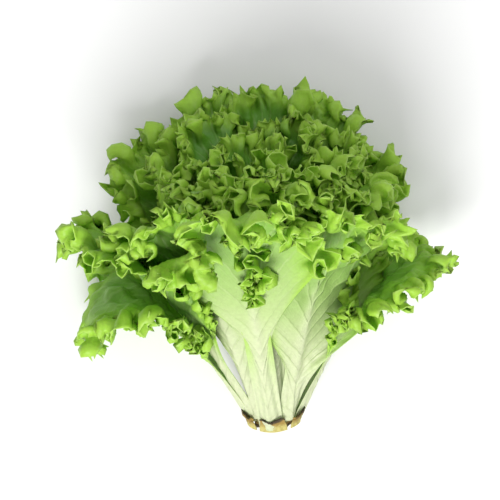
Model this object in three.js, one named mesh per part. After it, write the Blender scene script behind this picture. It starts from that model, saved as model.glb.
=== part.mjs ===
// A cut head of green leaf lettuce lying on its side, in millimetres, +Z up.
// The origin is on the surface it rests on, under the middle of the head. The cut stem
// points to -Y and the frilled crown to +Y. Each leaf is a closed solid of its own that
// springs from a short conical stem; the frills themselves are finer than this model.
import * as THREE from "three";

// ---------------------------------------------------------------- driving dimensions
const HEAD_TILT = 22; // degrees that the head's axis rises from stem to crown
const HEAD_YAW = 5; // degrees that the axis turns towards -X
const BUTT_CENTRE = [18, -119, 13.5]; // centre of the cut face, before the floor's push
const STEM = { radius: 14, height: 40, tipRadius: 4.5, dome: 1.5, sides: 20 };
const DOME_SHARE = 0.6; // the cut's dome has one ring at this share of its radius and height

const LEAF_COUNT = 24;
const HEART_COUNT = 4;
const GOLDEN_ANGLE = 137.5; // degrees between one leaf and the next one inwards
const FIRST_AZIMUTH = -12; // degrees from straight up, positive towards +X

const BASE_CLEARANCE = 1.6; // from the stem to the middle of a leaf's base
const END_OF_STEM = 3; // from each end of the stem to the nearest leaf of the main run
const HEART_PLACE = { firstAzimuth: 30, aboveStem: 2, clearance: 0.5 };
const STUB_PLACE = { height: 0.5, clearance: 3.6 };
// Sizes of the outermost leaf, the innermost of the main run, the heart and the trimmed
// stubs. A leaf's angle from the axis is its lean plus its bend, in degrees: the first of
// each pair is where the head lies on the surface, the second where it spreads sideways.
const OUTER = { length: 212, width: 140, lean: [16, 20], bend: [16, 30], curl: 24 };
const INNER = { length: 176, width: 84, lean: [2, 2], bend: [12, 16], curl: 8 };
const HEART = { length: 165, width: 56, lean: [1, 1], bend: [8, 8], curl: 0 };
const STUB = { length: 12, width: 18, lean: [8, 8], bend: [20, 20], curl: 0 };
const STUB_AZIMUTHS = [-78, -4, 70]; // degrees
const WRAP_LIMIT = 1.25; // radians that half a leaf wraps round the head at most
const HEART_WRAP_LIMIT = 0.7;
const MIDRIB_SHARE = 0.62; // share of a leaf's length that its midrib reaches
const WIDEST_SHARE = 0.7; // where along its length a leaf is widest
const CURL_FROM = 0.62; // where along its length the tip's curl starts
const FLARE_FROM = 0.2; // where along its length a leaf starts to widen from its stalk
const BASE_HALF_ANGLE = 0.6; // radians of the stem that half a leaf's base covers

const THICK_BASE = 1.9;
const THICK_MARGIN = 1.0;
const THINNING = 1.2; // above 1, a leaf reaches its margin's thickness before its margin

const UPPER_SPREAD = -0.4; // how far the leaves on top spread, as a share of the sides
const LENGTH_BY_AZIMUTH = { below: 1.1, side: 0.94, above: 1.0 };
const FLOOR_SOFTNESS = { stem: 2.5, crown: 9.5, reach: 120 }; // how gradually the lowest
// leaves turn along the surface: near the cut, and at the crown from that reach on
const REST_LEVEL = 0.8; // the surface, before the head's origin is put on it
const PRESSED_BELOW = 5; // outer sides lower than this are pressed flat on the surface

const COLUMNS = 12; // across a leaf, from one side of its base round the tip to the other
const ROWS = 4; // from its midrib to its margin

// Leaves that don't follow the even run from outermost to innermost, by their number. A
// kick pulls part of the margin outwards and down: its place and reach are side veins.
const SPECIAL = {
  1: { azimuth: -10, length: 226, width: 120, curl: 34, flareFrom: 0.36 },
  2: { base: 5.5, length: 190, lean: [16, 16], bend: [30, 24], curl: 24 },
  3: {
    azimuth: -92, base: 5, length: 175, lean: [25, 25], bend: [20, 26], curl: 110,
    kick: { at: 0.05, reach: 0.22, out: 0, drop: 36 },
  },
  4: {
    azimuth: 42, length: 190, width: 155, lean: [14, 15], bend: [15, 31], curl: 6,
    kick: { at: 0.62, reach: 0.2, out: 40, drop: 0 },
  },
  5: { base: 9, length: 214, lean: [13, 16], bend: [24, 27], curl: 30 },
  6: { azimuth: -48, base: 11.5, length: 200, width: 120 },
  7: { azimuth: 88, base: 3, length: 166, lean: [22, 25], bend: [24, 28], curl: 60 },
  11: { base: 8, length: 198, lean: [18, 21], bend: [20, 28], curl: 10 },
};
const NO_KICK = { at: 0, reach: 1, out: 0, drop: 0 };

const radians = (degrees) => (degrees * Math.PI) / 180;
const mix = (a, b, t) => a + (b - a) * t;
const smooth = (t) => {
  const c = Math.min(1, Math.max(0, t));
  return c * c * (3 - 2 * c);
};

// ---------------------------------------------------------------- from head to surface
// The head's own frame: x to the right, n up from the axis, h along the axis from the cut.
const axis = new THREE.Vector3(
  -Math.sin(radians(HEAD_YAW)) * Math.cos(radians(HEAD_TILT)),
  Math.cos(radians(HEAD_YAW)) * Math.cos(radians(HEAD_TILT)),
  Math.sin(radians(HEAD_TILT)),
);
const right = new THREE.Vector3(
  Math.cos(radians(HEAD_YAW)),
  Math.sin(radians(HEAD_YAW)),
  0,
);
const up = new THREE.Vector3().crossVectors(right, axis);

// Puts a point of the head in place, turning what would sink below the surface along it.
function lay(x, n, h) {
  const p = new THREE.Vector3(...BUTT_CENTRE)
    .addScaledVector(right, x)
    .addScaledVector(up, n)
    .addScaledVector(axis, h);
  const { stem, crown, reach } = FLOOR_SOFTNESS;
  const softness = mix(stem, crown, smooth((p.y - BUTT_CENTRE[1]) / reach));
  p.z = softness * Math.log1p(Math.exp(p.z / softness));
  return p;
}

const pressed = (p) => (p.z < PRESSED_BELOW ? p.setZ(REST_LEVEL) : p);

// ---------------------------------------------------------------- one leaf
const stemRadiusAt = (height) =>
  mix(STEM.radius, STEM.tipRadius, Math.min(1, height / STEM.height));

// Adds to a leaf's sizes where it springs from the stem, its spine and its outline.
function placed(sizes, azimuth, baseHeight, clearance, wrapLimit = WRAP_LIMIT) {
  const usual = { flareFrom: FLARE_FROM, kick: NO_KICK };
  const leaf = { ...usual, ...sizes, azimuth: radians(azimuth), baseHeight, wrapLimit };
  leaf.baseRadius = stemRadiusAt(baseHeight) + clearance;
  leaf.baseHalfWidth = BASE_HALF_ANGLE * leaf.baseRadius;
  leaf.spines = [0, 1].map((way) => spineOf(leaf, leaf.lean[way], leaf.bend[way]));
  leaf.outline = outlineOf(leaf);
  return leaf;
}

// How far leaves spread sideways at an azimuth: 0 below the axis, 1 beside it.
const spread = (theta) => {
  const side = Math.sin(theta) ** 2;
  return Math.cos(theta) > 0 ? mix(UPPER_SPREAD, 1, side) : side;
};

// The number 1 is the outermost leaf; sizes run evenly from there to the innermost.
function mainLeaf(number) {
  const share = (number - 1) / (LEAF_COUNT - 1);
  const azimuth = FIRST_AZIMUTH + GOLDEN_ANGLE * (number - 1);
  const { below, side, above } = LENGTH_BY_AZIMUTH;
  const vertical = Math.cos(radians(azimuth));
  const reach = mix(side, vertical < 0 ? below : above, vertical * vertical);
  const between = (key) => mix(OUTER[key], INNER[key], share);
  const pair = (key) => [0, 1].map((way) => mix(OUTER[key][way], INNER[key][way], share));
  const sizes = {
    azimuth,
    length: between("length") * reach,
    width: between("width"),
    lean: pair("lean"),
    bend: pair("bend"),
    curl: between("curl"),
    ...SPECIAL[number],
  };
  return placed(
    sizes,
    sizes.azimuth,
    sizes.base ?? mix(END_OF_STEM, STEM.height - END_OF_STEM, share),
    BASE_CLEARANCE,
  );
}

// The midrib's line in the plane through the axis: its angle from the axis starts at the
// lean, grows evenly by the bend, and near the tip by the curl.
const SPINE_STEPS = 60;
function spineOf(leaf, lean, bend) {
  const step = leaf.length / SPINE_STEPS;
  const spine = [[leaf.baseRadius, leaf.baseHeight]];
  for (let i = 0; i < SPINE_STEPS; i++) {
    const t = (i + 0.5) / SPINE_STEPS;
    const tip = Math.max(0, (t - CURL_FROM) / (1 - CURL_FROM));
    const angle = radians(lean + bend * t + leaf.curl * tip * tip);
    const [rho, h] = spine[i];
    spine.push([rho + step * Math.sin(angle), h + step * Math.cos(angle)]);
  }
  return spine;
}

// Half of the flat leaf's outline, as points from the tip to the side of the base with
// their distances along it: a narrow stalk, a wide shoulder and a round top.
const OUTLINE_STEPS = 80;
function outlineOf(leaf) {
  const points = [];
  let along = 0;
  for (let i = 0; i <= OUTLINE_STEPS; i++) {
    const t = Math.cos((i / OUTLINE_STEPS) * (Math.PI / 2)); // closer together at the tip
    const flare = smooth((t - leaf.flareFrom) / (WIDEST_SHARE - leaf.flareFrom));
    const round = Math.max(0, (t - WIDEST_SHARE) / (1 - WIDEST_SHARE));
    const x =
      mix(leaf.baseHalfWidth, leaf.width / 2, flare) * Math.sqrt(1 - round * round);
    const y = t * leaf.length;
    if (i > 0) along += Math.hypot(x - points[i - 1].x, y - points[i - 1].y);
    points.push({ x, y, along });
  }
  return points;
}

// The outline's point at a share c of its length from the tip.
function outlineAt(leaf, c) {
  const target = c * leaf.outline[OUTLINE_STEPS].along;
  let i = 1;
  while (i < OUTLINE_STEPS && leaf.outline[i].along < target) i++;
  const a = leaf.outline[i - 1];
  const b = leaf.outline[i];
  const t = (target - a.along) / (b.along - a.along);
  return { x: mix(a.x, b.x, t), y: mix(a.y, b.y, t) };
}

// How side veins start and turn: above 1, the crowding gathers their starts towards the
// base. The bend is the middle point of the quadratic curve, as shares of the way across
// and of the way up from its start.
const VEINS = { crowding: 1.1, bendAcross: 0.35, bendUp: 0.55 };

// Flat place on the leaf: a from -1 to 1 names the side vein, r goes along that vein from
// the midrib, 0, to the margin, 1. The vein is a quadratic curve that leaves the midrib
// steeply and opens outwards.
function flatPlace(leaf, a, r) {
  const c = Math.abs(a);
  const end = outlineAt(leaf, c);
  const start = MIDRIB_SHARE * leaf.length * (1 - c) ** VEINS.crowding;
  const bx = VEINS.bendAcross * end.x;
  const by = start + VEINS.bendUp * (end.y - start);
  const x = 2 * r * (1 - r) * bx + r * r * end.x;
  const y = (1 - r) * (1 - r) * start + 2 * r * (1 - r) * by + r * r * end.y;
  return { x: Math.sign(a) * x, y };
}

// A point off the leaf's middle surface by an offset along the leaf's outward side. The
// leaf wraps round the head's axis, so a distance across it is an arc of that radius.
function leafPoint(leaf, a, r, offset) {
  const { x, y } = flatPlace(leaf, a, r);
  const near = spineAt(leaf, y, spread(leaf.azimuth));
  const wrap = leaf.wrapLimit * Math.tanh(x / (near.rho * leaf.wrapLimit));
  const theta = leaf.azimuth + wrap;
  const { rho, h, slopeRho, slopeH } = spineAt(leaf, y, spread(theta));
  const { at, reach, out, drop } = leaf.kick;
  const kick = r * r * Math.exp(-(((a - at) / reach) ** 2));
  const far = rho + out * kick + offset * slopeH;
  const along = h - drop * kick - offset * slopeRho;
  return lay(far * Math.sin(theta), far * Math.cos(theta), along);
}

// The place and direction, in the plane through the axis, at a distance up the leaf.
function spineAt(leaf, y, wide) {
  const at = Math.min((y / leaf.length) * SPINE_STEPS, SPINE_STEPS - 1e-6);
  const i = Math.floor(at);
  const point = (j, k) => mix(leaf.spines[0][j][k], leaf.spines[1][j][k], wide);
  const rise = [0, 1].map((k) => point(i + 1, k) - point(i, k));
  const step = Math.hypot(...rise);
  return {
    rho: point(i, 0) + (at - i) * rise[0],
    h: point(i, 1) + (at - i) * rise[1],
    slopeRho: rise[0] / step,
    slopeH: rise[1] / step,
  };
}

// The closed solid between a leaf's outer and inner side.
function leafGeometry(leaf) {
  const corners = [];
  for (let c = 0; c <= COLUMNS; c++)
    for (let r = 0; r <= ROWS; r++) {
      const share = r / ROWS;
      const half = mix(THICK_BASE, THICK_MARGIN, smooth(share * THINNING)) / 2;
      const vein = (2 * c) / COLUMNS - 1;
      corners.push(pressed(leafPoint(leaf, vein, share, half)));
      corners.push(leafPoint(leaf, vein, share, -half));
    }
  const at = (c, r, side) => (c * (ROWS + 1) + r) * 2 + side;
  const faces = [];
  const quad = (i, j, k, l) => faces.push(i, k, j, i, l, k);
  for (let c = 0; c < COLUMNS; c++) {
    for (let r = 0; r < ROWS; r++) {
      const outer = [at(c, r, 0), at(c, r + 1, 0), at(c + 1, r + 1, 0), at(c + 1, r, 0)];
      const inner = [at(c, r, 1), at(c + 1, r, 1), at(c + 1, r + 1, 1), at(c, r + 1, 1)];
      quad(...outer);
      quad(...inner);
    }
    quad(at(c, ROWS, 0), at(c, ROWS, 1), at(c + 1, ROWS, 1), at(c + 1, ROWS, 0));
  }
  for (let r = 0; r < ROWS; r++) {
    quad(at(0, r, 0), at(0, r, 1), at(0, r + 1, 1), at(0, r + 1, 0));
    quad(at(COLUMNS, r, 0), at(COLUMNS, r + 1, 0), at(COLUMNS, r + 1, 1), at(COLUMNS, r, 1));
  }
  const geometry = new THREE.BufferGeometry().setFromPoints(corners);
  geometry.setIndex(faces);
  return geometry;
}

// ---------------------------------------------------------------- stem
// A short cone, slightly domed where it was cut, laid on the surface with its leaves.
function stemGeometry() {
  const profile = [
    [0, -STEM.dome],
    [STEM.radius * DOME_SHARE, -STEM.dome * DOME_SHARE],
    [STEM.radius, 0],
    [stemRadiusAt(STEM.height / 2), STEM.height / 2],
    [STEM.tipRadius, STEM.height],
    [0, STEM.height],
  ];
  const lathe = new THREE.LatheGeometry(
    profile.map(([r, h]) => new THREE.Vector2(r, h)),
    STEM.sides,
  );
  const place = lathe.getAttribute("position");
  for (let i = 0; i < place.count; i++) {
    const p = lay(place.getX(i), place.getZ(i), place.getY(i));
    place.setXYZ(i, p.x, p.y, p.z);
  }
  return lathe;
}

// ---------------------------------------------------------------- the head
const leafGreen = new THREE.MeshStandardMaterial({ color: 0x86b840, roughness: 0.5 });
const heartGreen = new THREE.MeshStandardMaterial({ color: 0xb4d070, roughness: 0.5 });
const stemWhite = new THREE.MeshStandardMaterial({ color: 0xd9dcb4, roughness: 0.55 });
const stubBrown = new THREE.MeshStandardMaterial({ color: 0x9a8a3c, roughness: 0.7 });

const head = new THREE.Group();
function add(name, geometry, material) {
  const mesh = new THREE.Mesh(geometry, material);
  mesh.name = name;
  head.add(mesh);
}

add("stem", stemGeometry(), stemWhite);
for (let number = 1; number <= LEAF_COUNT; number++) {
  const name = "leaf_" + String(number).padStart(2, "0");
  add(name, leafGeometry(mainLeaf(number)), leafGreen);
}
for (let i = 0; i < HEART_COUNT; i++) {
  const azimuth = HEART_PLACE.firstAzimuth + (360 / HEART_COUNT) * i;
  const height = STEM.height + HEART_PLACE.aboveStem;
  const leaf = placed(HEART, azimuth, height, HEART_PLACE.clearance, HEART_WRAP_LIMIT);
  add("heart_leaf_" + (i + 1), leafGeometry(leaf), heartGreen);
}
STUB_AZIMUTHS.forEach((azimuth, i) => {
  const leaf = placed(STUB, azimuth, STUB_PLACE.height, STUB_PLACE.clearance);
  add("leaf_stub_" + (i + 1), leafGeometry(leaf), stubBrown);
});

const box = new THREE.Box3().setFromObject(head);
const middle = box.getCenter(new THREE.Vector3());
head.position.set(-middle.x, -middle.y, -box.min.z);

export default head;
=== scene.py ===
"""A cut head of green leaf lettuce lying on its side, in metres, +Z up.

The cut stem points to -Y and the frilled crown to +Y. Every leaf is a closed thin solid
whose margin is ruffled three times over, each ruffle riding on the one before.
"""

import math

import bpy
import numpy as np
from bpy.props import FloatProperty, FloatVectorProperty, PointerProperty
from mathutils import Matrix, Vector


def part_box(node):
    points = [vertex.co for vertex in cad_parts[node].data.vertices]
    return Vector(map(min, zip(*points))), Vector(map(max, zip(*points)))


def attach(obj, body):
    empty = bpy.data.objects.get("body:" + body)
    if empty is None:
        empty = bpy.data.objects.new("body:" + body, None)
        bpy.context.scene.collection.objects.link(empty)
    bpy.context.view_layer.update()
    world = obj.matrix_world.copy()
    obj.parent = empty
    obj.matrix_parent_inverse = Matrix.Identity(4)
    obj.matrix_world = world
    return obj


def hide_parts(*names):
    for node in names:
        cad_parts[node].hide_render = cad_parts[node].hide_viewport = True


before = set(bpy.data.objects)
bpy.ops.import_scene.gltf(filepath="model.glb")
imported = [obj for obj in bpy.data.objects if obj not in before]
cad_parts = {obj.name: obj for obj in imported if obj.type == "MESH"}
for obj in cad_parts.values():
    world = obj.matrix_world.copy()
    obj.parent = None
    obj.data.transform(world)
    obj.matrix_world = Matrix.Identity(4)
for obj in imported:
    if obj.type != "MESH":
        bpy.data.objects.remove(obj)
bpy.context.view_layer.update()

bl_info = {
    "name": "Green Leaf Lettuce",
    "version": (1, 0, 0),
    "blender": (4, 5, 0),
    "location": "3D View > Sidebar > Lettuce",
    "description": "Makes a cut head of frilled leaf lettuce",
    "category": "Add Mesh",
}

# ------------------------------------------------------------------ driving dimensions
HEAD_TILT = math.radians(22)  # that the head's axis rises from stem to crown
HEAD_YAW = math.radians(5)  # that the axis turns towards -X
BUTT_CENTRE = np.array([0.018, -0.119, 0.0135])  # before the floor's push
STEM = {"radius": 0.0140, "height": 0.040, "tip": 0.0045, "dome": 0.0015}
LEAF_COUNT = 24
HEART_COUNT = 4
GOLDEN_ANGLE = 137.5  # degrees between one leaf and the next one inwards
FIRST_AZIMUTH = -12  # degrees from straight up, positive towards +X
BASE_CLEARANCE = 0.0016  # from the stem to the middle of a leaf's base
END_OF_STEM = 0.003  # from each end of the stem to the nearest leaf of the main run
# Sizes of the outermost leaf, the innermost of the main run, the heart and the stubs. The
# first of each pair of angles, in degrees, holds where the head lies on the surface, and
# the second where it spreads sideways.
OUTER = {"length": 0.212, "width": 0.140, "lean": (16, 20), "bend": (16, 30), "curl": 24}
INNER = {"length": 0.176, "width": 0.084, "lean": (2, 2), "bend": (12, 16), "curl": 8}
HEART = {"length": 0.165, "width": 0.056, "lean": (1, 1), "bend": (8, 8), "curl": 0}
STUB = {"length": 0.012, "width": 0.018, "lean": (8, 8), "bend": (20, 20), "curl": 0}
STUB_AZIMUTHS = (-78, -4, 70)
HEART_PLACE = {"first": 30, "above": 0.002, "clearance": 0.0005}
STUB_PLACE = {"height": 0.0005, "clearance": 0.0036}
# Leaves that don't follow the even run, by their number. A kick moves part of the margin:
# its place and reach as side veins, then how far outwards and how far down.
SPECIAL = {
    1: {"azimuth": -10, "length": 0.226, "width": 0.120, "curl": 34, "flare_from": 0.36},
    2: {"base": 0.0055, "length": 0.190, "lean": (16, 16), "bend": (30, 24), "curl": 24},
    3: {"azimuth": -92, "base": 0.005, "length": 0.175, "lean": (25, 25), "bend": (20, 26),
        "curl": 110, "kicks": ((0.05, 0.22, 0.0, 0.036),)},
    4: {"azimuth": 42, "length": 0.190, "width": 0.155, "lean": (14, 15),
        "bend": (15, 31), "curl": 6, "kicks": ((0.62, 0.20, 0.040, 0.0),)},
    5: {"base": 0.009, "length": 0.214, "lean": (13, 16), "bend": (24, 27), "curl": 30},
    6: {"azimuth": -48, "base": 0.0115, "length": 0.200, "width": 0.120},
    7: {"azimuth": 88, "base": 0.003, "length": 0.166, "lean": (22, 25),
        "bend": (24, 28), "curl": 60},
    11: {"base": 0.008, "length": 0.198, "lean": (18, 21), "bend": (20, 28), "curl": 10},
}
# Where along its length a leaf's frills start, by its number, and for all the others.
FRILLS_FROM = {1: 0.62, 4: 0.46, 6: 0.34, 3: 0.34, 7: 0.40}
USUAL_FRILLS_FROM = 0.38
# How far from the margin a leaf rolls over and by what angle, by its number.
ROLLS = {1: (0.040, 2.5), 4: (0.032, 1.6), 6: (0.032, 1.6), 3: (0.030, 0.6)}
USUAL_ROLL_REACH = 0.030
WRAP_LIMIT = 1.25  # radians that half a leaf wraps round the head at most
HEART_WRAP_LIMIT = 0.7
MIDRIB_SHARE = 0.62  # share of a leaf's length that its midrib reaches
WIDEST_SHARE = 0.7  # where along its length a leaf is widest
CURL_FROM = 0.62  # where along its length the tip's curl starts
FLARE_FROM = 0.2  # where along its length a leaf starts to widen from its stalk
BASE_HALF_ANGLE = 0.6  # radians of the stem that half a leaf's base covers
UPPER_SPREAD = -0.4  # how far the leaves on top spread, as a share of the sides
VEIN_CROWDING = 1.1  # above 1, side veins start closer together near the base
VEIN_BEND = (0.35, 0.55)  # a side vein's middle point, as shares across and up
SPINE_STEPS = 600
OUTLINE_POINTS = 400
REACH_BELOW, REACH_SIDE, REACH_ABOVE = 1.10, 0.94, 1.0
SOFT_STEM, SOFT_CROWN, SOFT_REACH = 0.0025, 0.0095, 0.120
FLOOR_SOFTNESS = 0.0016  # how gradually a frill turns along the floor
FLOOR_GAP = 0.0004

# The three ruffles, coarse to fine: wavelength along the margin, height, and how far
# from the margin each one reaches into the blade.
RUFFLES = ((0.022, 0.0060, 0.027), (0.0104, 0.0052, 0.019), (0.0064, 0.0026, 0.010))
BLISTER_HEIGHT = 0.00075  # of each of the waves that make up the blade's blisters
BLISTER_WAVES = 7
BLISTER_LENGTHS = (0.011, 0.022)
OVERHANG = 0.30  # sideways swing of a ruffle, as a share of its height
FULL_VEIN = 0.045  # ruffles are lower on side veins shorter than this
# Teeth and lobes of the margin: wavelength, height, and reach into the blade.
TOOTH_WAVE, TOOTH_HEIGHT, TOOTH_REACH = 0.0036, 0.0085, 0.009
LOBE_WAVE, LOBE_HEIGHT, LOBE_REACH = 0.024, 0.0042, 0.016
# Relief of the blade: the midrib's width at its base and at its tip, the side veins on
# each half with their ridge, and the stalk's furrows.
RIB_WIDTHS = (0.0062, 0.0018)
RIB_SHARE_INSIDE = 0.35  # how far the midrib swells on the inner side, as a share
SIDE_VEINS = 9.0
RIDGE_HEIGHT = 0.0005
FURROW_HEIGHT, FURROW_WAVE = 0.00045, 0.0046
# Columns of a leaf's grid: the outer leaves, the other leaves, the heart and the stubs.
OUTER_LEAVES = 12
OUTER_COLUMNS, INNER_COLUMNS, HEART_COLUMNS, STUB_COLUMNS = 640, 448, 256, 128
STEP = np.array([4] * 8 + [2] * 8 + [1] * 11)  # columns between a row's vertices
# Where the rows lie from the midrib, 0, to the margin, 1.
ROW_AT = np.concatenate(
    [np.linspace(0, 0.40, 9)[:-1], np.linspace(0.40, 0.76, 9)[:-1], np.linspace(0.76, 1, 11)]
)

HEART_SEED, STUB_SEED = 100, 200  # a main leaf's seed is its number
STUB_THICKNESS, STUB_RIB = 0.0008, 0.0006
STUB_COLOUR = (0.50, 0.44, 0.13)

FLOOR_REACH = 6.0
KEY_LIGHT = {"place": (-0.25, -1.05, 1.15), "size": 0.9}
FILL_LIGHT = {"place": (0.55, 0.75, 1.2), "size": 1.4}
LIGHTS_FACE = np.array([0, 0, 0.08])  # the point that both lights face
CAMERA_PLACE = (-0.0070, 0.0074, 1.68)  # looking straight down
LENS, SENSOR = 174.0, 36.0  # in millimetres

TAU = 2 * math.pi


def mix(a, b, t):
    return a + (b - a) * t


def smooth(t):
    """0 below 0, 1 above 1 and an even S between."""
    t = np.clip(t, 0, 1)
    return t * t * (3 - 2 * t)


def unit(v):
    return v / np.maximum(np.linalg.norm(v, axis=-1, keepdims=True), 1e-12)


AXIS = np.array([
    -math.sin(HEAD_YAW) * math.cos(HEAD_TILT),
    math.cos(HEAD_YAW) * math.cos(HEAD_TILT),
    math.sin(HEAD_TILT),
])
RIGHT = np.array([math.cos(HEAD_YAW), math.sin(HEAD_YAW), 0.0])
UP = np.cross(RIGHT, AXIS)


def lay(x, n, h):
    """From the head's own frame (x right, n up from the axis, h along it) to the floor's:
    a turn and a shift, then the height z becomes soft * log(1 + exp(z / soft))."""
    p = BUTT_CENTRE + x[..., None] * RIGHT + n[..., None] * UP + h[..., None] * AXIS
    soft = mix(SOFT_STEM, SOFT_CROWN, smooth((p[..., 1] - BUTT_CENTRE[1]) / SOFT_REACH))
    p[..., 2] = soft * np.logaddexp(0, p[..., 2] / soft)
    return p


def stem_radius(height):
    return mix(STEM["radius"], STEM["tip"], np.minimum(1, height / STEM["height"]))


def stem_rings(profile, sides):
    """Points of (radius, height) pairs carried round the head's axis, ring by ring."""
    turn = np.arange(sides) * TAU / sides
    radius, height = np.array(profile).T
    return lay(
        radius[:, None] * np.sin(turn), radius[:, None] * np.cos(turn),
        height[:, None] * np.ones(sides),
    )


def cad_shift():
    """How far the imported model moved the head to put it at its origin: the lowest corner
    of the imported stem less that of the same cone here."""
    cone = stem_rings(
        [
            (0, -STEM["dome"]), (STEM["radius"] * 0.6, -STEM["dome"] * 0.6),
            (STEM["radius"], 0), (stem_radius(STEM["height"] / 2), STEM["height"] / 2),
            (STEM["tip"], STEM["height"]), (0, STEM["height"]),
        ], 20,
    )
    return np.array(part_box("stem")[0]) - cone.reshape(-1, 3).min(axis=0)


SHIFT = cad_shift()


# ------------------------------------------------------------------ one leaf's sizes
class Leaf:
    """Where a leaf springs from the stem, its spine and its flat outline."""

    def __init__(self, sizes, azimuth, base_height, clearance, wrap_limit=WRAP_LIMIT):
        self.length, self.width = sizes["length"], sizes["width"]
        self.azimuth = math.radians(azimuth)
        self.wrap_limit = wrap_limit
        self.base_height = base_height
        self.base_radius = stem_radius(base_height) + clearance
        self.base_half_width = BASE_HALF_ANGLE * self.base_radius
        self.spines = [
            self.spine(lean, bend, sizes["curl"])
            for lean, bend in zip(sizes["lean"], sizes["bend"])
        ]
        self.kicks = sizes.get("kicks", ())
        self.flare_from = sizes.get("flare_from", FLARE_FROM)
        self.outline()

    def spine(self, lean, bend, curl):
        """The midrib's line in the plane through the axis: its angle from the axis starts
        at the lean, grows evenly by the bend, and near the tip by the curl."""
        t = (np.arange(SPINE_STEPS) + 0.5) / SPINE_STEPS
        tip = np.maximum(0, (t - CURL_FROM) / (1 - CURL_FROM))
        angle = np.radians(lean + bend * t + curl * tip * tip)
        rise = np.stack([np.sin(angle), np.cos(angle)]) * self.length / SPINE_STEPS
        start = np.array([[self.base_radius], [self.base_height]])
        line = np.concatenate([start, start + np.cumsum(rise, axis=1)], axis=1)
        return line, np.gradient(line, self.length / SPINE_STEPS, axis=1)

    def outline(self):
        """Half of the flat outline from the tip to the side of the base: a narrow stalk, a
        wide shoulder and a round top."""
        t = np.cos(np.linspace(0, 1, OUTLINE_POINTS) * math.pi / 2)
        flare = smooth((t - self.flare_from) / (WIDEST_SHARE - self.flare_from))
        round_ = np.maximum(0, (t - WIDEST_SHARE) / (1 - WIDEST_SHARE))
        self.line_x = mix(self.base_half_width, self.width / 2, flare) * np.sqrt(1 - round_**2)
        self.line_y = t * self.length
        run = np.hypot(np.diff(self.line_x), np.diff(self.line_y))
        self.line_run = np.concatenate([[0], np.cumsum(run)])
        self.half_outline = self.line_run[-1]

    def flat(self, a, r):
        """Flat place: a from -1 to 1 names a side vein, and r goes along it from the
        midrib, 0, to the margin, 1. A vein is a quadratic curve that leaves the midrib
        steeply and opens outwards."""
        c = np.abs(a)
        end_x = np.interp(c * self.half_outline, self.line_run, self.line_x)
        end_y = np.interp(c * self.half_outline, self.line_run, self.line_y)
        start = MIDRIB_SHARE * self.length * (1 - c) ** VEIN_CROWDING
        mid_x, mid_y = VEIN_BEND[0] * end_x, start + VEIN_BEND[1] * (end_y - start)
        x = 2 * r * (1 - r) * mid_x + r * r * end_x
        y = (1 - r) ** 2 * start + 2 * r * (1 - r) * mid_y + r * r * end_y
        return np.sign(a) * x, y, end_y + 0 * r

    def on_spine(self, y, wide):
        """Distance from the axis and along it at a distance up the leaf, between the
        narrow spine and the wide one."""
        at = np.clip(y, 0, self.length)
        steps = np.linspace(0, self.length, self.spines[0][0].shape[1])
        pick = lambda way, part, k: np.interp(at, steps, self.spines[way][part][k])
        return [mix(pick(0, 0, k), pick(1, 0, k), wide) for k in (0, 1)]

    def surface(self, x, y, a, r):
        """The smooth middle surface: a distance across the leaf is an arc round the head's
        axis, limited by wrap * tanh(x / (radius * wrap)). A kick moves part of the margin
        outwards and down by amount * r^2 * exp(-((a - place) / reach)^2)."""
        near = self.on_spine(y, spread(self.azimuth))[0]
        theta = self.azimuth + self.wrap_limit * np.tanh(x / (near * self.wrap_limit))
        rho, h = self.on_spine(y, spread(theta))
        for place, reach, out, drop in self.kicks:
            kick = r * r * np.exp(-(((a - place) / reach) ** 2))
            rho, h = rho + out * kick, h - drop * kick
        return lay(rho * np.sin(theta), rho * np.cos(theta), h)


def spread(theta):
    """How far leaves spread sideways at an azimuth: 0 below the axis, 1 beside it."""
    side = np.sin(theta) ** 2
    return np.where(np.cos(theta) > 0, mix(UPPER_SPREAD, 1, side), side)


def main_leaf(number):
    """The leaf of that number: sizes run evenly from the outermost, 1, to the innermost."""
    share = (number - 1) / (LEAF_COUNT - 1)
    azimuth = FIRST_AZIMUTH + GOLDEN_ANGLE * (number - 1)
    upright = math.cos(math.radians(azimuth))
    reach = mix(REACH_SIDE, REACH_BELOW if upright < 0 else REACH_ABOVE, upright * upright)
    sizes = {
        "length": mix(OUTER["length"], INNER["length"], share) * reach,
        "width": mix(OUTER["width"], INNER["width"], share),
        "curl": mix(OUTER["curl"], INNER["curl"], share),
    }
    for key in ("lean", "bend"):
        sizes[key] = [mix(OUTER[key][way], INNER[key][way], share) for way in (0, 1)]
    sizes.update(SPECIAL.get(number, {}))
    azimuth = sizes.get("azimuth", azimuth)
    base = sizes.get("base", mix(END_OF_STEM, STEM["height"] - END_OF_STEM, share))
    return Leaf(sizes, azimuth, base, BASE_CLEARANCE)


# ------------------------------------------------------------------ a leaf's surface
def wander(rng, s, wave):
    """A smooth random run along s, about -1 to 1: three sines of near wavelengths."""
    total = 0
    for share in (0.55, 1.0, 1.7):
        total = total + np.sin(TAU * (s * share / wave + rng.random()))
    return total / 2


def frames(p):
    """Unit vectors at each grid point: along the columns, along the rows and out of the
    leaf, which is the first crossed with the second. The midrib takes those beside it."""
    across = np.gradient(p, axis=0)
    outwards = np.gradient(p, axis=1)
    normal = unit(np.cross(across, outwards))
    normal[:, 0] = unit(normal[:, 1] + normal[::-1, 1])
    outwards = unit(outwards)
    return np.cross(outwards, normal), outwards, normal


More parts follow.
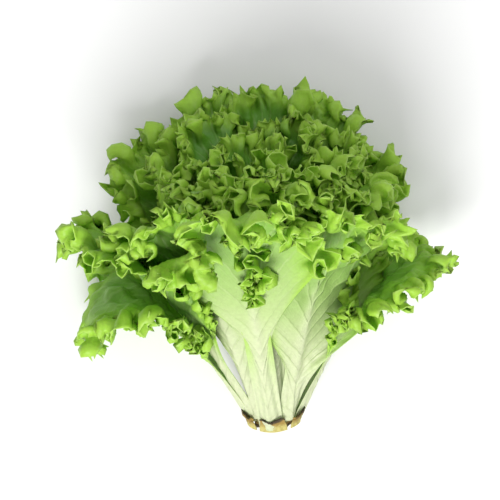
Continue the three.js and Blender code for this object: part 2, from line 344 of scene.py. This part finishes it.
def ruffled(leaf, rng, columns, roll, lively, frills_from):
    """The middle surface with its rolled and ruffled margin, on a grid of columns (veins)
    and rows. Each ruffle moves the surface along its normal by height * sin(phase) and
    along the margin by -overhang * sin(2 * phase), which leans its sides over."""
    a = np.linspace(-1, 1, columns + 1)[:, None]
    r = ROW_AT[None, :]
    x, y, end_y = leaf.flat(a, r)
    p = leaf.surface(x, y, a, r)
    s = a * leaf.half_outline
    step = np.linalg.norm(np.diff(p, axis=1), axis=-1)
    run = np.concatenate([0 * s, np.cumsum(step, axis=1)], axis=1)
    vein = run[:, -1:]
    inwards = vein - run  # distance to the margin
    side = smooth((end_y / leaf.length - frills_from) / 0.20) * smooth(r / 0.55)
    crown = smooth((end_y / leaf.length - 0.5) / 0.3)
    scale = np.minimum(1, vein / FULL_VEIN) * lively

    reach, angle = roll
    bend = angle * np.clip(0.55 + 0.6 * wander(rng, s, 0.085), 0.05, 1.3) * side * crown
    reach = np.minimum(reach, 0.8 * vein)
    t = np.maximum(0, reach - inwards)
    radius = reach / np.maximum(bend, 0.02)
    _, outwards, normal = frames(p)
    p = p + normal * (radius * (1 - np.cos(t / radius)))[..., None]
    p = p - outwards * (t - radius * np.sin(t / radius))[..., None]

    # Blisters over the blade: plane waves that cross at several angles.
    blister = 0
    for turn in rng.uniform(0, TAU, BLISTER_WAVES):
        length = rng.uniform(*BLISTER_LENGTHS)
        across, along = x * math.cos(turn), y * math.sin(turn)
        blister = blister + np.sin(TAU * ((across + along) / length + rng.random()))
    _, _, normal = frames(p)
    upper = smooth((y / leaf.length - frills_from - 0.02) / 0.22)
    p = p + normal * (BLISTER_HEIGHT * lively * blister * upper)[..., None]

    for wave, height, depth in RUFFLES:
        phase = TAU * (s / wave + rng.random()) + 0.9 * wander(rng, s, 2.7 * wave)
        swerve = rng.uniform(0.8, 1.6) * wander(rng, s, 3.1 * wave)
        turned = wander(rng, s, 2 * wave)
        phase = phase + swerve * np.sin(TAU * inwards / (1.3 * depth) + turned)
        swell = np.clip(1 + 0.5 * wander(rng, s, 1.9 * wave), 0.25, 1.7)
        weight = smooth(1 - inwards / depth) * side * scale * swell * height
        along, outwards, normal = frames(p)
        p = p + normal * (weight * np.sin(phase))[..., None]
        p = p - along * (OVERHANG * weight * np.sin(2 * phase))[..., None]

    tooth_phase = TAU * (s / TOOTH_WAVE + rng.random()) + 0.7 * wander(rng, s, 0.02)
    tooth = 1 - np.abs(np.sin(tooth_phase / 2))
    tooth = tooth * np.clip(0.75 + 0.45 * wander(rng, s, 0.017), 0.2, 1.3)
    lobe = np.sin(TAU * (s / LOBE_WAVE + rng.random()) + wander(rng, s, 0.06))
    toothed = side * scale
    _, outwards, normal = frames(p)
    near = smooth(1 - inwards / TOOTH_REACH)
    p = p + outwards * (toothed * TOOTH_HEIGHT * (tooth - 0.3) * near)[..., None]
    near = smooth(1 - inwards / LOBE_REACH)
    p = p + outwards * (toothed * LOBE_HEIGHT * lobe * near)[..., None]
    return p, x, y, a + 0 * r, inwards


def leaf_mesh(name, leaf, seed, columns, roll, lively, layer, blade, rib,
              frills_from=USUAL_FRILLS_FROM):
    """Closes a leaf: outer and inner sides half a blade off the middle surface, thicker
    over the midrib by rib * exp(-(x / rib width)^2)."""
    rng = np.random.default_rng(seed)
    p, x, y, a, inwards = ruffled(leaf, rng, columns, roll, lively, frills_from)
    _, _, normal = frames(p)
    up_leaf = np.clip(y / (MIDRIB_SHARE * leaf.length), 0, 1.4)
    rib_width = mix(*RIB_WIDTHS, np.minimum(up_leaf, 1) ** 0.6)
    swell = rib * np.maximum(0, 1 - 0.95 * up_leaf) ** 0.8 * np.exp(-((x / rib_width) ** 2))
    veins = np.abs(a) * SIDE_VEINS
    vein_line = np.exp(-(((veins - np.floor(veins) - 0.5) / 0.16) ** 2))
    ridge = RIDGE_HEIGHT * vein_line
    ridge = ridge * smooth((1 - ROW_AT[None, :]) * 1.6) * smooth(up_leaf * 2)
    furrow = FURROW_HEIGHT * np.cos(TAU * x / FURROW_WAVE + 3 * np.sin(y / 0.05))
    furrow = furrow * (1 - smooth(up_leaf * 1.3))
    outer = p + normal * (blade / 2 + swell + ridge + furrow * smooth(up_leaf * 8))[..., None]
    inner = p - normal * (blade / 2 + RIB_SHARE_INSIDE * swell)[..., None]

    points = np.stack([outer, inner], axis=2) + SHIFT  # column, row, side
    z = (points[..., 2] - FLOOR_GAP) / FLOOR_SOFTNESS
    points[..., 2] = FLOOR_GAP + FLOOR_SOFTNESS * np.logaddexp(0, z)

    width = np.abs(np.gradient(a, axis=0))
    gauge = np.linalg.norm(np.gradient(p, axis=0), axis=-1) / width
    fields = {
        "along": y / leaf.length,
        "rib": np.exp(-((x / (rib_width * 1.3)) ** 2)),
        "margin": inwards * 1000,
        "gauge": gauge,
        "layer": layer + 0 * a,
    }
    return closed_mesh(name, points, fields, a)


def closed_mesh(name, points, fields, a):
    """The mesh of a leaf's grid. Rows have a vertex every 4, 2 or 1 columns, finer towards
    the margin, and the two halves share the midrib."""
    columns, rows = points.shape[0] - 1, points.shape[1] - 1
    ids = np.arange((columns + 1) * (rows + 1) * 2).reshape(columns + 1, rows + 1, 2)
    faces = []

    def sheet(*corners):
        outer = np.stack([ids[c, r, 0].ravel() for c, r in corners], axis=-1)
        inner = np.stack([ids[c, r, 1].ravel() for c, r in corners[::-1]], axis=-1)
        faces.extend([outer, inner])

    for r in range(rows):
        wide, fine = STEP[r], STEP[r + 1]
        c = np.arange(0, columns, wide)
        if wide == fine:
            sheet((c, r), (c + wide, r), (c + wide, r + 1))
            sheet((c, r), (c + wide, r + 1), (c, r + 1))
        else:
            sheet((c, r), (c + fine, r + 1), (c, r + 1))
            sheet((c, r), (c + wide, r), (c + fine, r + 1))
            sheet((c + wide, r), (c + wide, r + 1), (c + fine, r + 1))
    c = np.arange(columns)
    rim = [ids[c, rows, 0], ids[c + 1, rows, 0], ids[c + 1, rows, 1], ids[c, rows, 1]]
    r = np.arange(rows)
    first = [ids[0, r, 0], ids[0, r + 1, 0], ids[0, r + 1, 1], ids[0, r, 1]]
    last = [ids[columns, r + 1, 0], ids[columns, r, 0], ids[columns, r, 1], ids[columns, r + 1, 1]]
    for quad in (rim, first, last):
        faces.append(np.stack(quad[:3], axis=-1))
        faces.append(np.stack([quad[0], quad[2], quad[3]], axis=-1))
    faces = np.concatenate(faces)

    uv = np.stack([a, ROW_AT[None, :] + 0 * a], axis=-1)
    uv = np.repeat(uv[:, :, None], 2, axis=2).reshape(-1, 2)[faces]
    merged = ids.copy()
    merged[: columns // 2, 0] = ids[columns // 2 + 1 :, 0][::-1]
    corners = merged.ravel()[faces]
    used, corners = np.unique(corners, return_inverse=True)
    corners = corners.reshape(-1, 3)
    sound = (corners[:, 0] != corners[:, 1]) & (corners[:, 1] != corners[:, 2]) \
        & (corners[:, 0] != corners[:, 2])
    return build(
        name, points.reshape(-1, 3)[used], corners[sound], uv[sound],
        {key: np.repeat(f[..., None], 2, axis=2).ravel()[used] for key, f in fields.items()},
    )


def build(name, points, faces, uv=None, fields=None):
    """Puts whole arrays into a new object's mesh."""
    mesh = bpy.data.meshes.new(name)
    mesh.vertices.add(len(points))
    mesh.vertices.foreach_set("co", points.astype(np.float32).ravel())
    mesh.loops.add(faces.size)
    mesh.loops.foreach_set("vertex_index", faces.astype(np.int32).ravel())
    mesh.polygons.add(len(faces))
    starts = np.arange(0, faces.size, faces.shape[1], dtype=np.int32)
    mesh.polygons.foreach_set("loop_start", starts)
    mesh.polygons.foreach_set("use_smooth", np.ones(len(faces), dtype=bool))
    mesh.update(calc_edges=True)
    if uv is not None:
        layer = mesh.uv_layers.new(name="UVMap")
        layer.data.foreach_set("uv", uv.astype(np.float32).ravel())
    for key, values in (fields or {}).items():
        mesh.attributes.new(key, "FLOAT", "POINT").data.foreach_set(
            "value", values.astype(np.float32)
        )
    piece = bpy.data.objects.new(name, mesh)
    bpy.context.scene.collection.objects.link(piece)
    return piece


# ------------------------------------------------------------------ materials
class Value:
    """A shader value: Python arithmetic on it adds Math nodes."""

    def __init__(self, paint, socket):
        self.paint, self.socket = paint, socket

    def math(self, operation, *others, clamp=False):
        return self.paint.node(
            "ShaderNodeMath", {"operation": operation, "use_clamp": clamp}, [self, *others]
        )

    def __add__(self, other):
        return self.math("ADD", other)

    def __sub__(self, other):
        return self.math("SUBTRACT", other)

    def __rsub__(self, other):
        return self.paint.node(
            "ShaderNodeMath", {"operation": "SUBTRACT"}, [other, self]
        )

    def __mul__(self, other):
        return self.math("MULTIPLY", other)

    def __truediv__(self, other):
        return self.math("DIVIDE", other)

    __radd__, __rmul__ = __add__, __mul__

    def clip(self):
        return self.math("ADD", 0.0, clamp=True)

    def step(self, low, high):
        """0 at low, 1 at high, with an even S between."""
        return self.paint.node(
            "ShaderNodeMapRange", {"interpolation_type": "SMOOTHSTEP"},
            {"Value": self, "From Min": low, "From Max": high},
        )


class Paint:
    """One material and the nodes that are added to it."""

    def __init__(self, name):
        self.material = bpy.data.materials.new(name)
        self.material.use_nodes = True
        self.tree = self.material.node_tree
        self.tree.nodes.clear()

    def node(self, kind, settings=None, sockets=(), out=0):
        """Adds a node: its settings first, then the values or links of its sockets."""
        node = self.tree.nodes.new(kind)
        for key, value in (settings or {}).items():
            setattr(node, key, value)
        pairs = sockets.items() if isinstance(sockets, dict) else enumerate(sockets)
        for key, value in pairs:
            if isinstance(value, Value):
                self.tree.links.new(value.socket, node.inputs[key])
            else:
                node.inputs[key].default_value = value
        return Value(self, node.outputs[out])

    def attribute(self, name):
        return self.node("ShaderNodeAttribute", {"attribute_name": name}, out=2)

    def mix(self, factor, a, b, blend="MIX"):
        """Colour a where the factor is 0 and b where it is 1."""
        a, b = (v if isinstance(v, Value) else (*v, 1.0) for v in (a, b))
        return self.node(
            "ShaderNodeMix", {"data_type": "RGBA", "blend_type": blend},
            {0: factor, 6: a, 7: b}, out=2,
        )

    def noise(self, scale, detail=3.0, roughness=0.5, stretch=(1, 1, 1)):
        place = self.node("ShaderNodeTexCoord", out=3)
        if stretch != (1, 1, 1):
            place = self.node("ShaderNodeMapping", sockets={"Vector": place, "Scale": stretch})
        return self.node(
            "ShaderNodeTexNoise", None,
            {"Vector": place, "Scale": scale, "Detail": detail, "Roughness": roughness},
        )

    def finish(self, colour, roughness, height=None, distance=0.0005, strength=0.5,
               translucent=None, share=0.0, **constants):
        sockets = {"Base Color": colour, "Roughness": roughness, **constants}
        if height is not None:
            sockets["Normal"] = self.node(
                "ShaderNodeBump", None,
                {"Strength": strength, "Distance": distance, "Height": height},
            )
        shader = self.node("ShaderNodeBsdfPrincipled", None, sockets)
        if translucent is not None:
            through = self.node("ShaderNodeBsdfTranslucent", None, {"Color": (*translucent, 1)})
            shader = self.node("ShaderNodeMixShader", None, [share, shader, through])
        output = self.tree.nodes.new("ShaderNodeOutputMaterial")
        self.tree.links.new(shader.socket, output.inputs["Surface"])
        return self.material


def leaf_material(colours, name, through):
    """Blade and petiole: white at the base, paler along ribs, brightest in the frills, with a
    thin pale rim painted as a highlight, and darker on the inner leaves, partly their own
    deeper green and partly painted shade of the crown's folds."""
    paint = Paint(name)
    along, rib = paint.attribute("along"), paint.attribute("rib")
    margin, gauge = paint.attribute("margin"), paint.attribute("gauge")
    layer = paint.attribute("layer")
    uv = paint.node("ShaderNodeUVMap", {"uv_map": "UVMap"})
    split = paint.node("ShaderNodeSeparateXYZ", None, [uv])
    a = Value(paint, split.socket.node.outputs[0]).math("ABSOLUTE")
    r = Value(paint, split.socket.node.outputs[1])

    cloud = paint.noise(38, 4.0, 0.55)
    grain = paint.noise(420, 3.0, 0.6)
    patch = paint.noise(110, 3.0, 0.55)

    def veins(count, width):
        """1 on lines of equal a, width metres across, count of them on each half."""
        wavy = a * count + (patch - 0.5) * 0.35
        off = (wavy.math("FRACT") - 0.5).math("ABSOLUTE") * gauge / (count * width)
        return 1 - off.step(0.25, 1.0)

    first = veins(SIDE_VEINS, 0.0016) * (1 - r.step(0.55, 1.0))
    second = veins(27.0, 0.0009) * r.step(0.15, 0.4) * (1 - r.step(0.8, 1.0))
    net = paint.node(
        "ShaderNodeTexVoronoi", {"feature": "DISTANCE_TO_EDGE"},
        {"Vector": paint.node("ShaderNodeTexCoord", out=3), "Scale": 210.0},
    )
    mesh_vein = (1 - net.step(0.0, 0.10)) * 0.5

    greening = (along + (cloud - 0.5) * 0.12).step(0.16, 0.62)
    edge = 1 - (margin + (cloud - 0.5) * 14).step(6.0, 42.0)
    blade = paint.mix(greening, colours.petiole, colours.pale)
    upper = ((along + (cloud - 0.5) * 0.2).step(0.34, 0.85) * 0.85).clip()
    blade = paint.mix(upper, blade, colours.blade)
    blade = paint.mix((edge * along.step(0.12, 0.45)).clip(), blade, colours.frill)
    # Painted shade: the inner leaves' blades turn to the crown colour, partly their own deeper
    # green and partly the crown's shade painted in.
    inner = (layer * 1.3).clip() * along.step(0.30, 0.6) * margin.step(2.0, 16.0)
    blade = paint.mix(inner.clip(), blade, colours.crown_green_and_shade)
    lines = first.math("MAXIMUM", second * 0.55).math("MAXIMUM", mesh_vein * 0.35)
    blade = paint.mix((lines * 0.42 * (1 - edge * 0.55)).clip(), blade, colours.vein)
    blade = paint.mix((rib * (1 - along.step(0.35, 0.72)) * 0.85).clip(), blade, colours.petiole)
    # Painted highlight: a thin paler band along the very edge of the frills.
    rim = ((1 - margin.step(0.1, 0.7)) * 0.4 * along.step(0.2, 0.4)).clip()
    blade = paint.mix(rim, blade, colours.rim)
    streak = paint.noise(300, 2.0, 0.5, (1, 0.12, 1))
    streaked = ((streak - 0.5) * (1 - along.step(0.3, 0.6)) * 0.9).clip()
    blade = paint.mix(streaked, blade, colours.vein)
    shade = paint.mix(1.0, blade, paint.node(
        "ShaderNodeCombineColor", None, [grain * 0.3 + 0.85] * 3), "MULTIPLY")
    roughness = 0.30 + grain * 0.18 + (1 - rib) * 0.06
    crinkle = paint.noise(190, 3.0, 0.5)
    height = lines * 0.5 + patch * 0.9 + grain * 0.15 + crinkle * 0.8
    return paint.finish(
        shade, roughness, height, 0.0011, 0.55, tuple(through), 0.27,
        **{"Specular IOR Level": 0.45},
    )


def dry_material(name, base, ring, spots):
    """Stem and trimmed bases: pale flesh that browns towards its cut edge, with dark
    spots there."""
    paint = Paint(name)
    edge = paint.attribute("cut")
    cloud = paint.noise(90, 4.0, 0.6)
    grain = paint.noise(700, 4.0, 0.65)
    browned = (edge + (cloud - 0.5) * 0.9).step(0.15, 0.55)
    colour = paint.mix(browned, base, ring)
    dark = (edge + (cloud - 0.5) * 1.3).step(0.62, 0.95)
    colour = paint.mix(dark, colour, spots)
    colour = paint.mix(1.0, colour, paint.node(
        "ShaderNodeCombineColor", None, [grain * 0.5 + 0.75] * 3), "MULTIPLY")
    roughness = 0.45 + browned * 0.25 + grain * 0.15
    return paint.finish(colour, roughness, cloud + grain * 0.6, 0.0012, 0.6)


# ------------------------------------------------------------------ what a user changes
class LettuceSizes(bpy.types.PropertyGroup):
    blade: FloatProperty(
        name="Blade thickness", description="Thickness of a leaf's blade", default=0.00045,
        min=0.0003, max=0.002, precision=5, unit="LENGTH", subtype="DISTANCE")
    rib: FloatProperty(
        name="Midrib swell", description="How far the midrib stands out at a leaf's base",
        default=0.0042, min=0, max=0.006, precision=4, unit="LENGTH", subtype="DISTANCE")
    lively: FloatProperty(
        name="Ruffle height", description="Height of the ruffles, as a share of full",
        default=1.0, min=0, max=1.5, subtype="FACTOR")


def colour_property(name, description, default):
    return FloatVectorProperty(
        name=name, description=description, default=default, size=3, min=0, max=1,
        subtype="COLOR")


class LettuceColours(bpy.types.PropertyGroup):
    petiole: colour_property("Petiole", "Leaf stalks near the stem", (0.76, 0.80, 0.52))
    pale: colour_property("Pale blade", "Lower part of a blade", (0.56, 0.71, 0.27))
    blade: colour_property("Blade", "Upper part of a blade", (0.29, 0.56, 0.085))
    frill: colour_property("Frill", "Ruffled margin", (0.44, 0.73, 0.070))
    # Partly the inner leaves' own deeper green, partly painted shade of the crown.
    crown_green_and_shade: colour_property("Inner leaves", "Blades in the crown", (0.115, 0.33, 0.020))
    vein: colour_property("Veins", "Side veins", (0.60, 0.75, 0.32))
    # Colour of the painted highlight along the frills' edge.
    rim: colour_property("Rim", "Thin edge of the frills", (0.62, 0.82, 0.24))
    through: colour_property("Light through", "Light seen through a blade", (0.36, 0.68, 0.05))
    flesh: colour_property("Stem flesh", "Side of the stem", (0.66, 0.66, 0.36))
    dried: colour_property("Dried edge", "Browned cut edges", (0.33, 0.22, 0.05))
    dark: colour_property("Dark edge", "Blackened spots of the cut", (0.045, 0.030, 0.012))
    floor: colour_property("Floor", "Floor under the head", (0.90, 0.90, 0.90))


class LettuceLights(bpy.types.PropertyGroup):
    key: FloatProperty(
        name="Key", description="Power of the light from the stem's side", default=25.0,
        min=0, unit="POWER")
    fill: FloatProperty(
        name="Fill", description="Power of the light from the crown's side", default=7.0,
        min=0, unit="POWER")
    sky: FloatProperty(
        name="Sky", description="Brightness of the surroundings", default=0.46, min=0)


def place_piece(piece, material, nodes):
    piece.data.materials.append(material)
    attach(piece, "root")
    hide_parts(*nodes)


# ------------------------------------------------------------------ operators
class LETTUCE_OT_stem(bpy.types.Operator):
    """Makes the short stem with its browned cut"""
    bl_idname = "lettuce.stem"
    bl_label = "Stem"

    def execute(self, context):
        colours = context.scene.lettuce_colours
        sides = 96
        radius, height = STEM["radius"], STEM["height"]
        rings = np.array(
            [(0.0, -0.0015), (0.25, -0.0014), (0.5, -0.0012), (0.75, -0.0009), (0.9, -0.0006),
             (0.98, -0.0002), (1.0, 0.0006), (1.0, 0.0015)]
        )
        rings[:, 0] *= radius
        up = np.linspace(0.004, height, 14)
        rings = np.concatenate([rings, np.stack([stem_radius(up), up], axis=1)])
        rings = np.concatenate([rings, [(0.0, height)]])
        points = self.carry(rings, sides) + SHIFT
        points[..., 2] = np.maximum(points[..., 2], 0.0002)
        count = len(rings)
        j = np.arange(sides)
        k = (j + 1) % sides
        ids = np.arange(count * sides).reshape(count, sides)
        faces = []
        for i in range(count - 1):
            faces.append(np.stack([ids[i, j], ids[i + 1, k], ids[i, k]], axis=-1))
            faces.append(np.stack([ids[i, j], ids[i + 1, j], ids[i + 1, k]], axis=-1))
        faces = np.concatenate(faces)
        flat = np.arange(count * sides).reshape(count, sides)
        flat[0] = 0
        flat[-1] = (count - 1) * sides
        faces = flat.ravel()[faces]
        sound = (faces[:, 0] != faces[:, 1]) & (faces[:, 1] != faces[:, 2]) \
            & (faces[:, 0] != faces[:, 2])
        used, faces = np.unique(faces[sound], return_inverse=True)
        out = rings[:, 0] / radius
        cut = np.where(rings[:, 1] < 0.0016, 0.15 + 0.85 * smooth((out - 0.7) / 0.3),
                       1 - smooth((rings[:, 1] - 0.0005) / 0.006))
        cut = (cut[:, None] * np.ones(sides)).ravel()[used]
        piece = build(
            "stem_flesh", points.reshape(-1, 3)[used], faces.reshape(-1, 3), None, {"cut": cut})
        material = dry_material(
            "stem flesh", tuple(colours.flesh), tuple(colours.dried), tuple(colours.dark))
        place_piece(piece, material, ["stem"])
        return {"FINISHED"}

    @staticmethod
    def carry(rings, sides):
        """The profile carried round the axis, its radius varied by a few waves round it."""
        turn = np.arange(sides) * TAU / sides
        wave = 1 + 0.03 * np.sin(5 * turn + 0.7) + 0.02 * np.sin(11 * turn + 2.0)
        radius = rings[:, :1] * wave
        dent = 0.0006 * np.sin(7 * turn + 1.0) * (rings[:, :1] / STEM["radius"])
        return lay(radius * np.sin(turn), radius * np.cos(turn), rings[:, 1:] + dent)


class LETTUCE_OT_leaves(bpy.types.Operator):
    """Makes the main run of frilled leaves, from the outermost to the innermost"""
    bl_idname = "lettuce.leaves"
    bl_label = "Leaves"

    def execute(self, context):
        sizes, colours = context.scene.lettuce_sizes, context.scene.lettuce_colours
        material = leaf_material(colours, "leaf", colours.through)
        for number in range(1, LEAF_COUNT + 1):
            share = (number - 1) / (LEAF_COUNT - 1)
            name = "leaf_%02d" % number
            leaf = main_leaf(number)
            facing = mix(0.2, 1, smooth(math.cos(leaf.azimuth) + 0.5))
            usual_roll = (USUAL_ROLL_REACH, mix(1.5, 1.0, share) * facing)
            piece = leaf_mesh(
                "frilled_" + name, leaf, number,
                OUTER_COLUMNS if number <= OUTER_LEAVES else INNER_COLUMNS,
                ROLLS.get(number, usual_roll), sizes.lively * mix(1.0, 0.8, share), share,
                sizes.blade, sizes.rib, FRILLS_FROM.get(number, USUAL_FRILLS_FROM),
            )
            place_piece(piece, material, [name])
        return {"FINISHED"}


class LETTUCE_OT_heart(bpy.types.Operator):
    """Makes the small leaves of the heart"""
    bl_idname = "lettuce.heart"
    bl_label = "Heart"

    def execute(self, context):
        sizes, colours = context.scene.lettuce_sizes, context.scene.lettuce_colours
        material = leaf_material(colours, "heart leaf", colours.through)
        for i in range(HEART_COUNT):
            leaf = Leaf(
                HEART, HEART_PLACE["first"] + 360 / HEART_COUNT * i,
                STEM["height"] + HEART_PLACE["above"], HEART_PLACE["clearance"],
                HEART_WRAP_LIMIT,
            )
            piece = leaf_mesh(
                "frilled_heart_leaf_%d" % (i + 1), leaf, HEART_SEED + i, HEART_COLUMNS,
                (0.02, 0.8), 0.6 * sizes.lively, 0.9, sizes.blade, sizes.rib * 0.4,
            )
            place_piece(piece, material, ["heart_leaf_%d" % (i + 1)])
        return {"FINISHED"}


class LETTUCE_OT_stubs(bpy.types.Operator):
    """Makes the dried bases of trimmed leaves round the cut"""
    bl_idname = "lettuce.stubs"
    bl_label = "Stubs"

    def execute(self, context):
        colours = context.scene.lettuce_colours
        material = dry_material(
            "dried stub", STUB_COLOUR, tuple(colours.dried), tuple(colours.dark))
        for i, azimuth in enumerate(STUB_AZIMUTHS):
            leaf = Leaf(STUB, azimuth, STUB_PLACE["height"], STUB_PLACE["clearance"])
            piece = leaf_mesh(
                "torn_stub_%d" % (i + 1), leaf, STUB_SEED + i, STUB_COLUMNS, (0.006, 0.8),
                0.5, 0.0, STUB_THICKNESS, STUB_RIB,
            )
            mesh = piece.data
            along = np.empty(len(mesh.vertices), dtype=np.float32)
            mesh.attributes["along"].data.foreach_get("value", along)
            mesh.attributes.new("cut", "FLOAT", "POINT").data.foreach_set("value", along)
            place_piece(piece, material, ["leaf_stub_%d" % (i + 1)])
        return {"FINISHED"}


class LETTUCE_OT_stage(bpy.types.Operator):
    """Makes the floor, the lights and the camera that looks straight down"""
    bl_idname = "lettuce.stage"
    bl_label = "Stage"

    def execute(self, context):
        scene = context.scene
        colours, lights = scene.lettuce_colours, scene.lettuce_lights
        corners = np.array([[-1, -1, 0], [1, -1, 0], [1, 1, 0], [-1, 1, 0]]) * FLOOR_REACH
        floor = build("floor", corners, np.array([[0, 1, 2, 3]]))
        paint = Paint("floor")
        mottle = paint.noise(3.0, 2.0)
        floor.data.materials.append(paint.finish(
            paint.mix(mottle * 0.02, tuple(colours.floor), (1.0, 1.0, 1.0)), 0.7 + mottle * 0.1))

        world = bpy.data.worlds.new("sky")
        world.use_nodes = True
        back = world.node_tree.nodes["Background"]
        back.inputs["Color"].default_value = (1.0, 1.0, 1.0, 1.0)
        back.inputs["Strength"].default_value = lights.sky
        scene.world = world
        self.light("key", power=lights.key, **KEY_LIGHT)
        self.light("fill", power=lights.fill, **FILL_LIGHT)

        camera = bpy.data.objects.new("camera", bpy.data.cameras.new("camera"))
        camera.location = CAMERA_PLACE
        camera.data.sensor_width = SENSOR
        camera.data.lens = LENS
        camera.data.clip_end = 20.0
        scene.collection.objects.link(camera)
        scene.camera = camera
        scene.view_settings.view_transform = "Standard"
        return {"FINISHED"}

    @staticmethod
    def light(name, place, size, power):
        data = bpy.data.lights.new(name, "AREA")
        data.shape = "DISK"
        data.size = size
        data.energy = power
        lamp = bpy.data.objects.new(name, data)
        lamp.location = place
        back = np.array(place) - LIGHTS_FACE
        flat = math.hypot(back[0], back[1])
        lamp.rotation_euler = (
            math.atan2(flat, back[2]), 0, math.atan2(back[0], -back[1]))
        bpy.context.scene.collection.objects.link(lamp)


class LETTUCE_PT_panel(bpy.types.Panel):
    """Lists the head's sizes, colours and pieces"""
    bl_idname = "LETTUCE_PT_panel"
    bl_label = "Green Leaf Lettuce"
    bl_space_type = "VIEW_3D"
    bl_region_type = "UI"
    bl_category = "Lettuce"

    def draw(self, context):
        for group in ("lettuce_sizes", "lettuce_colours", "lettuce_lights"):
            box = self.layout.box()
            settings = getattr(context.scene, group)
            for key in type(settings).__annotations__:
                box.prop(settings, key)
        for maker in MAKERS:
            self.layout.operator(maker.bl_idname)


MAKERS = (
    LETTUCE_OT_stem, LETTUCE_OT_leaves, LETTUCE_OT_heart, LETTUCE_OT_stubs, LETTUCE_OT_stage,
)
GROUPS = {
    "lettuce_sizes": LettuceSizes,
    "lettuce_colours": LettuceColours,
    "lettuce_lights": LettuceLights,
}


def register():
    for made in (*GROUPS.values(), *MAKERS, LETTUCE_PT_panel):
        bpy.utils.register_class(made)
    for key, group in GROUPS.items():
        setattr(bpy.types.Scene, key, PointerProperty(type=group))


def unregister():
    for key in GROUPS:
        delattr(bpy.types.Scene, key)
    for made in reversed((*GROUPS.values(), *MAKERS, LETTUCE_PT_panel)):
        bpy.utils.unregister_class(made)


def main():
    register()
    bpy.ops.lettuce.stem()
    bpy.ops.lettuce.leaves()
    bpy.ops.lettuce.heart()
    bpy.ops.lettuce.stubs()
    bpy.ops.lettuce.stage()


if __name__ == "__main__":
    main()
